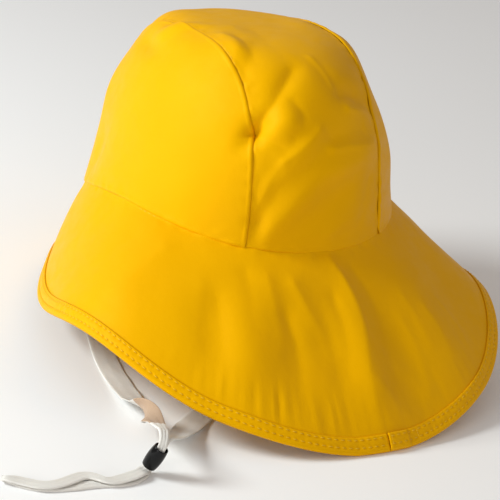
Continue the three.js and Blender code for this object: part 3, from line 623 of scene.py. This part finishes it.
def coated_cloth():
    """Yellow cotton under a smooth coat: the weave prints through, and the coat has a soft shine."""
    material, skin, add, links = shader("coated_cloth")
    cloth = add("ShaderNodeUVMap", uv_map="cloth").outputs[0]
    at = add("ShaderNodeTexCoord").outputs["Object"]
    split = add("ShaderNodeSeparateXYZ", {0: cloth})
    turns = [
        add("ShaderNodeMath", {0: split.outputs[axis], 1: 2 * math.pi / WEAVE}, operation="MULTIPLY")
        for axis in (0, 1)
    ]
    threads = [add("ShaderNodeMath", {0: turn.outputs[0]}, operation="SINE") for turn in turns]
    print_through = add(
        "ShaderNodeMath", {0: threads[0].outputs[0], 1: threads[1].outputs[0]}, operation="MULTIPLY"
    )
    soft = add("ShaderNodeTexNoise", {"Vector": at, "Scale": 120.0, "Detail": 4.0, "Roughness": 0.55})
    broad = add("ShaderNodeTexNoise", {"Vector": at, "Scale": 22.0, "Detail": 3.0})
    tint = add(
        "ShaderNodeMix",
        {0: broad.outputs[0], 6: (0.78, 0.385, 0.0, 1), 7: (0.84, 0.43, 0.0, 1)},
        data_type="RGBA",
    )
    links.new(tint.outputs[2], skin.inputs["Base Color"])
    dull = add(
        "ShaderNodeMapRange",
        {"Value": soft.outputs[0], "From Min": 0.3, "From Max": 0.7, "To Min": 0.4, "To Max": 0.54},
    )
    links.new(dull.outputs[0], skin.inputs["Roughness"])
    weave_bump = add(
        "ShaderNodeBump", {"Strength": 0.35, "Distance": 0.00006, "Height": print_through.outputs[0]}
    )
    skin_bump = add(
        "ShaderNodeBump",
        {"Strength": 0.35, "Distance": 0.0006, "Height": soft.outputs[0], "Normal": weave_bump.outputs[0]},
    )
    links.new(skin_bump.outputs[0], skin.inputs["Normal"])
    skin.inputs["Specular IOR Level"].default_value = 0.13
    skin.inputs["Specular Tint"].default_value = (1.0, 0.75, 0.15, 1)
    return material


def walled(piece, thickness=CLOTH):
    """Gives a sheet its cloth's thickness, inwards from the face it was placed by."""
    wall = piece.modifiers.new("wall", "SOLIDIFY")
    wall.thickness = thickness * 0.001
    wall.offset = -1.0
    return piece


yellow = coated_cloth()
crown_strip = walled(made("crown_strip_cloth", mapped(*STRIP_GRID, strip_place), yellow))
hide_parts("crown_strip")

# Crown side panels
# Two D-shaped panels of the same cloth. The curved edge is sewn to the strip, the lower edge to the
# brim. The left one is smooth and catches the light, apart from the pinch at its rear seam.
SIDE_GRID = (190, 130)
SIDE_UNEVEN_PERIOD = 26.0
NARROW = 6.0  # where the panel is less tall than this, its seams' rolls shrink
SIDE_CLOTH_RISE = 1.1  # mm of cloth for each mm of height


def side_point(along, down, side):
    edge = 1 + SEAM_SLIT / STRIP_HALF_FOOT
    flat = np.full(len(along), side * edge)
    top = strip_point(flat, along)
    rear = seam_azimuth(flat * STRIP_HALF_FOOT, True)
    front = seam_azimuth(flat * STRIP_HALF_FOOT, False)
    base = seam_at(rear + (front - rear) * along)
    base[:, 2] += GAP
    toward = unit(top + (base - top) * down[:, None])
    return cast(np.zeros((len(along), 3)), toward)


def panel_place(side):
    def surface(along, down):
        return side_point(along, down, side)

    def place(u, v):
        along = eased(u, 0.5)
        down = 0.5 + 0.5 * (1.5 * (2 * v - 1) - 0.5 * (2 * v - 1) ** 3)
        p = surface(along, down)
        n = outward(surface, along, down, (0.01, 0.01), 0.015, 0.985, False)
        tall = np.linalg.norm(surface(along, 0 * down) - surface(along, 0 * down + 1), axis=1)
        top, base = down * tall, (1 - down) * tall
        rise = crown_fold(p) + (seam_roll(top) + seam_roll(base)) * np.clip(tall / NARROW, 0, 1)
        rise += pucker(p, np.minimum(top, base), 6) + CROWN_UNEVEN * ripple(p, SIDE_UNEVEN_PERIOD, 7)
        return stood(p + n * rise[:, None]), np.stack([p[:, 1], p[:, 2] * SIDE_CLOTH_RISE], 1)

    return place


for name, side in (("crown_side_left", 1), ("crown_side_right", -1)):
    bm = mapped(*SIDE_GRID, panel_place(side), turned=side > 0)
    bmesh.ops.remove_doubles(bm, verts=bm.verts, dist=1e-6)
    panel = walled(made(name + "_cloth", bm, yellow))
    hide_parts(name)

# Brim
# One ring of the same cloth, short in front and long behind over the neck. Its upper edge is sewn to
# the crown, and it stands on the ground at the front and rear of its rim.
BRIM_SPREAD = 83.5
BRIM_FALL = 96.8
RIM_STEP = 30.0
RIM_SPREADS = np.array([0.289, 0.250, 0.258, 0.486, 0.788, 0.965, 1.0])
RIM_FALLS = np.array([0.649, 0.606, 0.566, 0.590, 0.480, 0.798, 1.0])
BRIM_BULGE = 2.0  # halfway down
BULGE_RISE = 0.8  # upwards for each mm outwards
BAND_DROP = 2.15  # of the band below the edge of the brim's cloth
BAND_WIDTH = 9.0
BRIM_GRID = (640, 70)
BRIM_UNEVEN, BRIM_UNEVEN_PERIOD = 0.14, 28.0
BRIM_PER_DEGREE = 2.4  # mm of its cloth
TUCK_WIDE, TUCK_UP, TUCK_IN = 0.8, 3.2, 1.7  # its upper edge, under the crown's cloth

BRIM_FOLD = 3.2
# Azimuth from the front; share of the way down; half spans in degrees and down; height outwards.
BRIM_FOLDS = [
    (182, 0.55, 5.5, 0.42, 1),
    (193, 0.6, 6, 0.35, -0.75),
    (173, 0.48, 4.5, 0.2, -0.81),
    (164, 0.54, 5, 0.24, -0.75),
    (154, 0.6, 5, 0.3, 0.56),
    (145, 0.55, 5, 0.22, -0.81),
    (122, 0.6, 14, 0.4, 0.5),
    (206, 0.62, 6, 0.36, 0.62),
    (222, 0.5, 8, 0.3, -0.81),
    (245, 0.5, 14, 0.35, -0.69),
    (318, 0.6, 12, 0.35, 0.44),
    (30, 0.55, 11, 0.35, 0.44),
]

REAR_PER_DEGREE = 2.6  # mm of cloth at the rear
REAR_LONG = 120.0  # and down it
# Sharper creases: points as azimuth and share of the way down; half width in mm; height at both ends.
BRIM_CREASES = [
    ([(181, 0.02), (183, 0.12), (184, 0.22), (184.3, 0.32), (183.6, 0.42), (182.3, 0.52), (181, 0.62),
      (180.5, 0.78)], 4.0, 1.7, 0.9),
    ([(188.5, 0.1), (190.5, 0.22), (190.8, 0.34), (189.8, 0.46), (188.4, 0.58), (187.6, 0.68)],
     6.0, -1.3, -0.8),
    ([(178.4, 0.24), (178.8, 0.36), (178.2, 0.5), (176.6, 0.62)], 5.0, -1.5, -0.8),
    ([(167, 0.16), (169.6, 0.28), (172.4, 0.4), (173, 0.52), (171.6, 0.66)], 4.5, 1.2, 0.5),
    ([(164, 0.34), (165.6, 0.48), (165.8, 0.6), (164.8, 0.72)], 4.0, -1.2, -0.5),
    ([(159.5, 0.16), (161, 0.3), (162, 0.44), (161, 0.58)], 5.0, 0.9, 0.5),
    ([(153, 0.14), (154.5, 0.28), (155, 0.42)], 6.0, -1.0, -0.5),
    ([(146, 0.34), (147.5, 0.5), (148.5, 0.66)], 5.0, -0.8, -0.4),
    ([(141, 0.3), (142, 0.5), (143, 0.68)], 6.0, 0.6, 0.5),
    ([(183, 0.7), (185.5, 0.8), (187, 0.9)], 4.0, 0.9, 0.4),
    ([(189.5, 0.62), (192.5, 0.72), (194, 0.82)], 4.0, 0.7, 0.4),
    ([(196.6, 0.42), (196.8, 0.56), (196, 0.7), (194.6, 0.82)], 2.8, 0.6, 0.4),
    ([(200.6, 0.32), (201, 0.48), (200.4, 0.62)], 3.0, 0.5, 0.3),
    ([(205, 0.45), (205.4, 0.6), (204.6, 0.74)], 3.0, 0.55, 0.3),
    ([(212.5, 0.5), (212.8, 0.64), (212, 0.78)], 3.0, 0.5, 0.3),
    ([(128, 0.2), (124, 0.42), (121, 0.62)], 8.0, 0.8, 0.5),
    ([(115, 0.24), (111, 0.45), (109, 0.66)], 8.0, -0.7, -0.4),
]
HEM_GATHER = 0.6
HEM_GATHER_PITCH = 2.6  # degrees


def rim_at(azimuth, column):
    turned = abs((azimuth + 180) % 360 - 180) / RIM_STEP
    k = np.minimum(turned.astype(int), len(column) - 2)
    t = turned - k
    wide = np.concatenate([[column[1]], column, [column[-2]]])
    a, b, c, d = wide[k], wide[k + 1], wide[k + 2], wide[k + 3]
    return 0.5 * (2 * b + (c - a) * t + (2 * a - 5 * b + 4 * c - d) * t**2 + (3 * b - a - 3 * c + d) * t**3)


def rim_point(azimuth):
    reach = head_reach(azimuth, 0 * azimuth) + BRIM_SPREAD * rim_at(azimuth, RIM_SPREADS)
    p = heading(azimuth) * reach[:, None]
    p[:, 2] = -BRIM_FALL * rim_at(azimuth, RIM_FALLS)
    q = stood(p) - RIM_MIDDLE
    q[:, 2] = np.maximum(q[:, 2], BAND_DROP) - LIFT
    y = q[:, 1] * math.cos(LEAN) + q[:, 2] * math.sin(LEAN)
    z = q[:, 2] * math.cos(LEAN) - q[:, 1] * math.sin(LEAN)
    return np.stack([q[:, 0], y, z], 1)


def brim_point(azimuth, down):
    top = seam_at(azimuth)
    p = top + (rim_point(azimuth) - top) * down[:, None]
    out = heading(azimuth)
    out[:, 2] = BULGE_RISE
    return p + unit(out) * (BRIM_BULGE * 4 * down * (1 - down))[:, None]


def hem_gathers(azimuth, down):
    """Short gathers that rise from the binding at the left of the rear, uneven in height."""
    turn = azimuth * 2 * np.pi / HEM_GATHER_PITCH
    turn += 1.3 * np.sin(azimuth * 0.21) + 0.8 * np.sin(azimuth * 0.47)
    waves = np.sin(turn) + 0.8 * np.sin(turn * 0.57 + 1.1 + 4 * down) + 0.5 * np.sin(turn * 1.71 + 2.3)
    uneven = 0.55 + 0.45 * np.sin(azimuth * 0.83 + 9 * down) * np.sin(azimuth * 0.31 + 2)
    here = np.exp(-(((azimuth - 162) / 15) ** 2)) + 0.2 * np.exp(-(((azimuth - 200) / 25) ** 2))
    return HEM_GATHER * waves / 1.4 * uneven * here * np.exp(-(((down - 0.84) / 0.1) ** 2))


def brim_fold(azimuth, down):
    rise = hem_gathers(azimuth, down)
    cloth = np.array([REAR_PER_DEGREE, REAR_LONG])
    round_rear = np.stack([azimuth - 180, down], 1) * cloth
    for line, wide, start, end in BRIM_CREASES:
        points = (np.array(line) - (180, 0)) * cloth
        rise += crease(round_rear, points, wide, start, end)
    for at, low, turn, long, high in BRIM_FOLDS:
        away = abs((azimuth - at + 180) % 360 - 180)
        rise += BRIM_FOLD * high * np.exp(-((away / turn) ** 2) - ((down - low) / long) ** 2)
    fade = np.where(down < 0.9, np.minimum(1, down * 6), np.maximum(0, (1 - down) * 10))
    return rise * np.sqrt(fade)


def brim_length(azimuth):
    return np.linalg.norm(rim_point(azimuth) - seam_at(azimuth), axis=1)


def brim_cloth(azimuth, down):
    """Point and normal of the brim's outer face, with its folds."""
    p = brim_point(azimuth, down)
    n = outward(brim_point, azimuth, down, (0.5, 0.02), 0.02, 0.98, True)
    return p + n * brim_fold(azimuth, down)[:, None], n


def brim_place(u, v):
    azimuth = u * 360.0
    down = eased(v, 0.75)
    p, n = brim_cloth(azimuth, down)
    long = brim_length(azimuth)
    away = down * long
    hem = (1 - down) * long
    uneven = BRIM_UNEVEN * ripple(p, BRIM_UNEVEN_PERIOD, 12) * np.clip(hem / 20, 0, 1)
    rise = seam_roll(away) * 0.5 + pucker(p, away, 11) + uneven
    # The upper edge is turned up under the crown's cloth and sewn to it.
    tuck = np.array([0, 0, TUCK_UP]) - heading(azimuth) * TUCK_IN
    tuck = tuck * np.exp(-((away / TUCK_WIDE) ** 2))[:, None]
    return stood(p + n * rise[:, None] + tuck), np.stack([azimuth * BRIM_PER_DEGREE, away], 1)


bm = mapped(*BRIM_GRID, brim_place, turned=True)
bmesh.ops.remove_doubles(bm, verts=bm.verts, dist=1e-6)
brim = walled(made("brim_cloth", bm, yellow))
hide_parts("brim")

# Rim band
# A strip of the same cloth folded over the rim and sewn through with two rows. Its visible end lies
# doubled over the start near the middle of the rear.
BAND_CLOTH = 1.0
BAND_JOIN = 181.0
BAND_LAP = 14.0
BAND_LAP_RISE = 0.9
LAP_END = 1.5  # over which its doubled end falls away
ROUND_RIM = 4.0  # of the strip's width, turned round the rim
BAND_FLAT = 2 * BAND_WIDTH + ROUND_RIM
BAND_GRID = (1300, 34)
BAND_UNEVEN, BAND_UNEVEN_PERIOD = 0.14, 5.0
EDGE_TURN = 0.7  # how far in its cut edges are turned
EDGE_SUNK = (0.7, 0.6)  # outside, inside
PER_DEGREE = math.radians(1) * (HEAD_LENGTH_HALF + BRIM_SPREAD)
STITCHED_PER_DEGREE = 2.9  # mean length of band, which keeps the stitches near their pitch
STITCH_ROWS = (2.0, 6.6)  # under the band's upper edge
STITCH_PITCH = 3.8
STITCH_PULL, STITCH_DENT = 0.26, 0.2  # how deep the thread pulls a row, and each stitch in it


def band_face(azimuth, across):
    """A place on the band's outer skin: across 0 is its upper edge outside, 1 the edge inside."""
    long = brim_length(azimuth)
    top_down = 1 - BAND_WIDTH / long
    edge, n_edge = brim_cloth(azimuth, 0 * long + 1)
    top, n_top = brim_cloth(azimuth, top_down)
    down = unit(edge - top)
    skin = GAP + BAND_CLOTH
    lap = BAND_LAP_RISE * np.clip(1 - ((azimuth - BAND_JOIN) * PER_DEGREE - BAND_LAP) / LAP_END, 0, 1)
    # Outline of the folded strip: down the outside, round the rim, up the inside.
    run = across * BAND_FLAT
    outside = np.clip(run / BAND_WIDTH, 0, 1)
    inside = np.clip((run - BAND_WIDTH - ROUND_RIM) / BAND_WIDTH, 0, 1)
    fold = np.clip((run - BAND_WIDTH) / ROUND_RIM, 0, 1)
    depth = skin + lap + CLOTH / 2
    over = np.where(run < BAND_WIDTH, outside, 1 - inside)
    spine = top + (edge - top) * over[:, None]
    n = unit(n_top + (n_edge - n_top) * over[:, None])
    spine = spine - n * (CLOTH / 2)
    angle = fold * np.pi
    round_down = (skin + 0.2) * np.sin(angle)
    inner_depth = skin + CLOTH / 2
    out = np.where(run < BAND_WIDTH, depth, np.where(inside > 0, -inner_depth, 0))
    out = np.where((fold > 0) & (fold < 1), np.cos(angle) * np.where(fold < 0.5, depth, inner_depth), out)
    turned = EDGE_SUNK[0] * np.exp(-((run / EDGE_TURN) ** 2))
    turned += EDGE_SUNK[1] * np.exp(-(((BAND_FLAT - run) / EDGE_TURN) ** 2))
    out = out - np.sign(out) * turned
    return spine, n, down, out, round_down, run


def band_place(u, v):
    total = 360.0 - GAP / PER_DEGREE
    azimuth = BAND_JOIN + GAP / 2 / PER_DEGREE + u * total
    spine, n, down, out, round_down, run = band_face(azimuth, v)
    p = spine + n * out[:, None] + down * round_down[:, None]
    around = azimuth * STITCHED_PER_DEGREE
    pulled = np.zeros(len(u))
    for row in STITCH_ROWS:
        near = np.exp(-(((run - row) / 0.8) ** 2))
        pulled += near * (STITCH_PULL + STITCH_DENT * np.cos(2 * np.pi * around / STITCH_PITCH))
    middle = sum(STITCH_ROWS) / 2
    between = np.exp(-(((run - middle) / 2.0) ** 2)) * BAND_UNEVEN * ripple(p, BAND_UNEVEN_PERIOD, 21)
    p = p + n * (np.sign(out) * (between - pulled))[:, None]
    q = stood(p)
    q[:, 2] = np.maximum(q[:, 2], 0.0)
    return q, np.stack([around, run], 1)


bm = mapped(*BAND_GRID, band_place, turned=True)
rim_band = walled(made("rim_band_cloth", bm, yellow), BAND_CLOTH * 0.9)
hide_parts("rim_band")

# Rim stitching
# Two rows of lock stitches in yellow thread through the band, each stitch a short raised bead sunk
# into the cloth at both ends.
THREAD = 0.55
RIM_STITCH_FILL = 0.72  # share of the pitch that shows
THREAD_SUNK = 0.06
STITCH_BOX = (2.0, 22.0)  # from the join: the two short rows that close the box over the doubled end
STITCH_BOX_ROWS = np.array([2.9, 4.3, 5.7])
BOX_STITCH_HALF = 0.55


def bead(bm, a, b, a_out):
    """One stitch from a to b, its thread rounded towards a_out."""
    run, up = Vector(b - a), Vector(a_out - a)
    size = run.length
    side = run.cross(up).normalized()
    up = side.cross(run).normalized()
    turn = Matrix((run.normalized(), side, up)).transposed().to_4x4()
    shape = Matrix.Diagonal((size / 2, THREAD / 2, THREAD / 2.2, 1))
    place = Matrix.Scale(0.001, 4) @ Matrix.Translation(Vector((a + b) / 2)) @ turn @ shape
    bmesh.ops.create_icosphere(bm, subdivisions=1, radius=1.0, matrix=place)


def stitched(rows, start, end, name, material):
    """One joined mesh of stitches along the band, from azimuth start to end."""
    bm = bmesh.new()
    step = STITCH_PITCH / STITCHED_PER_DEGREE
    runs = [(np.arange(start, end, step), row, RIM_STITCH_FILL / 2 * step, 0) for row in rows]
    for away in STITCH_BOX:
        at = np.full(len(STITCH_BOX_ROWS), BAND_JOIN + away / PER_DEGREE)
        runs.append((at, STITCH_BOX_ROWS, 0, BOX_STITCH_HALF))
    for azimuths, row, turned, lowered in runs:
        ends = []
        for way in (-1, 1):
            across = (row + way * lowered + 0 * azimuths) / BAND_FLAT
            spine, n, down, out, _, _ = band_face(azimuths + way * turned, across)
            thread_at = stood(spine + n * (out - THREAD_SUNK)[:, None])
            ends.append((thread_at, stood(spine + n * (out + 1)[:, None])))
        for (a, a_out), (b, _) in zip(zip(*ends[0]), zip(*ends[1])):
            bead(bm, a, b, a_out)
    return made(name, bm, material)


thread, skin, add, links = shader("yellow_thread")
at = add("ShaderNodeTexCoord").outputs["Object"]
twist = add("ShaderNodeTexNoise", {"Vector": at, "Scale": 2500.0, "Detail": 2.0})
tint = add(
    "ShaderNodeMix",
    {0: twist.outputs[0], 6: (0.62, 0.33, 0.0, 1), 7: (0.90, 0.58, 0.01, 1)},
    data_type="RGBA",
)
links.new(tint.outputs[2], skin.inputs["Base Color"])
skin.inputs["Roughness"].default_value = 0.6
stitched(STITCH_ROWS, BAND_JOIN + 0.8, BAND_JOIN + 359.2, "rim_stitches", thread)

# Seam stitches
# A few stitches of the same thread show where the crown's seams were sewn over: high on the left
# D-shaped seam, and at two places along the seam between crown and brim.
SEAM_STITCH_AWAY = 1.3  # from the seam's groove
SEAM_STITCH_FILL = 0.72  # share of the pitch that shows


def on_strip(over):
    across = np.full(len(over), 1 - SEAM_STITCH_AWAY / STRIP_HALF_TOP)
    p = strip_point(across, over)
    n = outward(strip_point, across, over, (0.01, 0.004), 0.01, 0.99, True)
    skin = p + n * (crown_fold(p) + seam_roll(SEAM_STITCH_AWAY))[:, None]
    return stood(skin), stood(skin + n)


def on_brim(azimuth):
    p, n = brim_cloth(azimuth, SEAM_STITCH_AWAY / brim_length(azimuth))
    return stood(p), stood(p + n)


# Face; from and to along its seam, as a share of the way over the top or as azimuths; stitches.
SEAM_RUNS = [
    (on_strip, 0.338, 0.384, 5),
    (on_brim, 111.0, 118.0, 4),
    (on_brim, 147.0, 152.0, 3),
]

bm = bmesh.new()
for face, start, end, count in SEAM_RUNS:
    at = np.linspace(start, end, count)
    half = (at[1] - at[0]) * SEAM_STITCH_FILL / 2
    first, first_out = face(at - half)
    last, _ = face(at + half)
    for a, b, a_out in zip(first, last, first_out):
        bead(bm, a, b, a_out)
made("seam_stitches", bm, thread)

# Studio
# A plain pale floor and soft light: a key on the hat's left, a wide weak fill near the camera, a low
# one that reaches under the brim's left side, and a warm one from the far side.
FLOOR_HALF = 3.0  # metres
AMBIENT = 0.38
bm = bmesh.new()
bmesh.ops.create_grid(bm, x_segments=1, y_segments=1, size=FLOOR_HALF)
mesh = bpy.data.meshes.new("floor")
bm.to_mesh(mesh)
bm.free()
floor = bpy.data.objects.new("floor", mesh)
bpy.context.scene.collection.objects.link(floor)
pale, skin, _, _ = shader("pale_floor")
skin.inputs["Base Color"].default_value = (0.94, 0.94, 0.94, 1)
skin.inputs["Roughness"].default_value = 0.9
mesh.materials.append(pale)

bpy.context.scene.view_settings.view_transform = "Standard"
world = bpy.data.worlds.new("studio")
bpy.context.scene.world = world
world.use_nodes = True
world.node_tree.nodes["Background"].inputs[0].default_value = (1.0, 0.95, 0.92, 1)
world.node_tree.nodes["Background"].inputs[1].default_value = AMBIENT


def soft_light(name, direction, distance, size, power, tint=(1, 1, 1)):
    light = bpy.data.lights.new(name, "AREA")
    light.color = tint
    light.shape = "DISK"
    light.size = size
    light.energy = power
    lamp = bpy.data.objects.new(name, light)
    way = Vector(direction).normalized()
    lamp.location = Vector((0, 0, 0.09)) + way * distance
    lamp.rotation_euler = way.to_track_quat("Z", "Y").to_euler()
    bpy.context.scene.collection.objects.link(lamp)


# Name; direction; distance; size; power; tint.
soft_light("key", (0.79, -0.3, 0.51), 1.5, 0.55, 19.6, (0.95, 1.0, 1.0))
soft_light("fill", (0.5, 0.85, 0.3), 2.0, 1.6, 1.2)
soft_light("low", (0.88, 0.45, 0.15), 1.6, 0.6, 5.2)
soft_light("side", (-0.8, 0.5, 0.45), 2.0, 1.4, 4.0, (1.0, 0.86, 0.7))
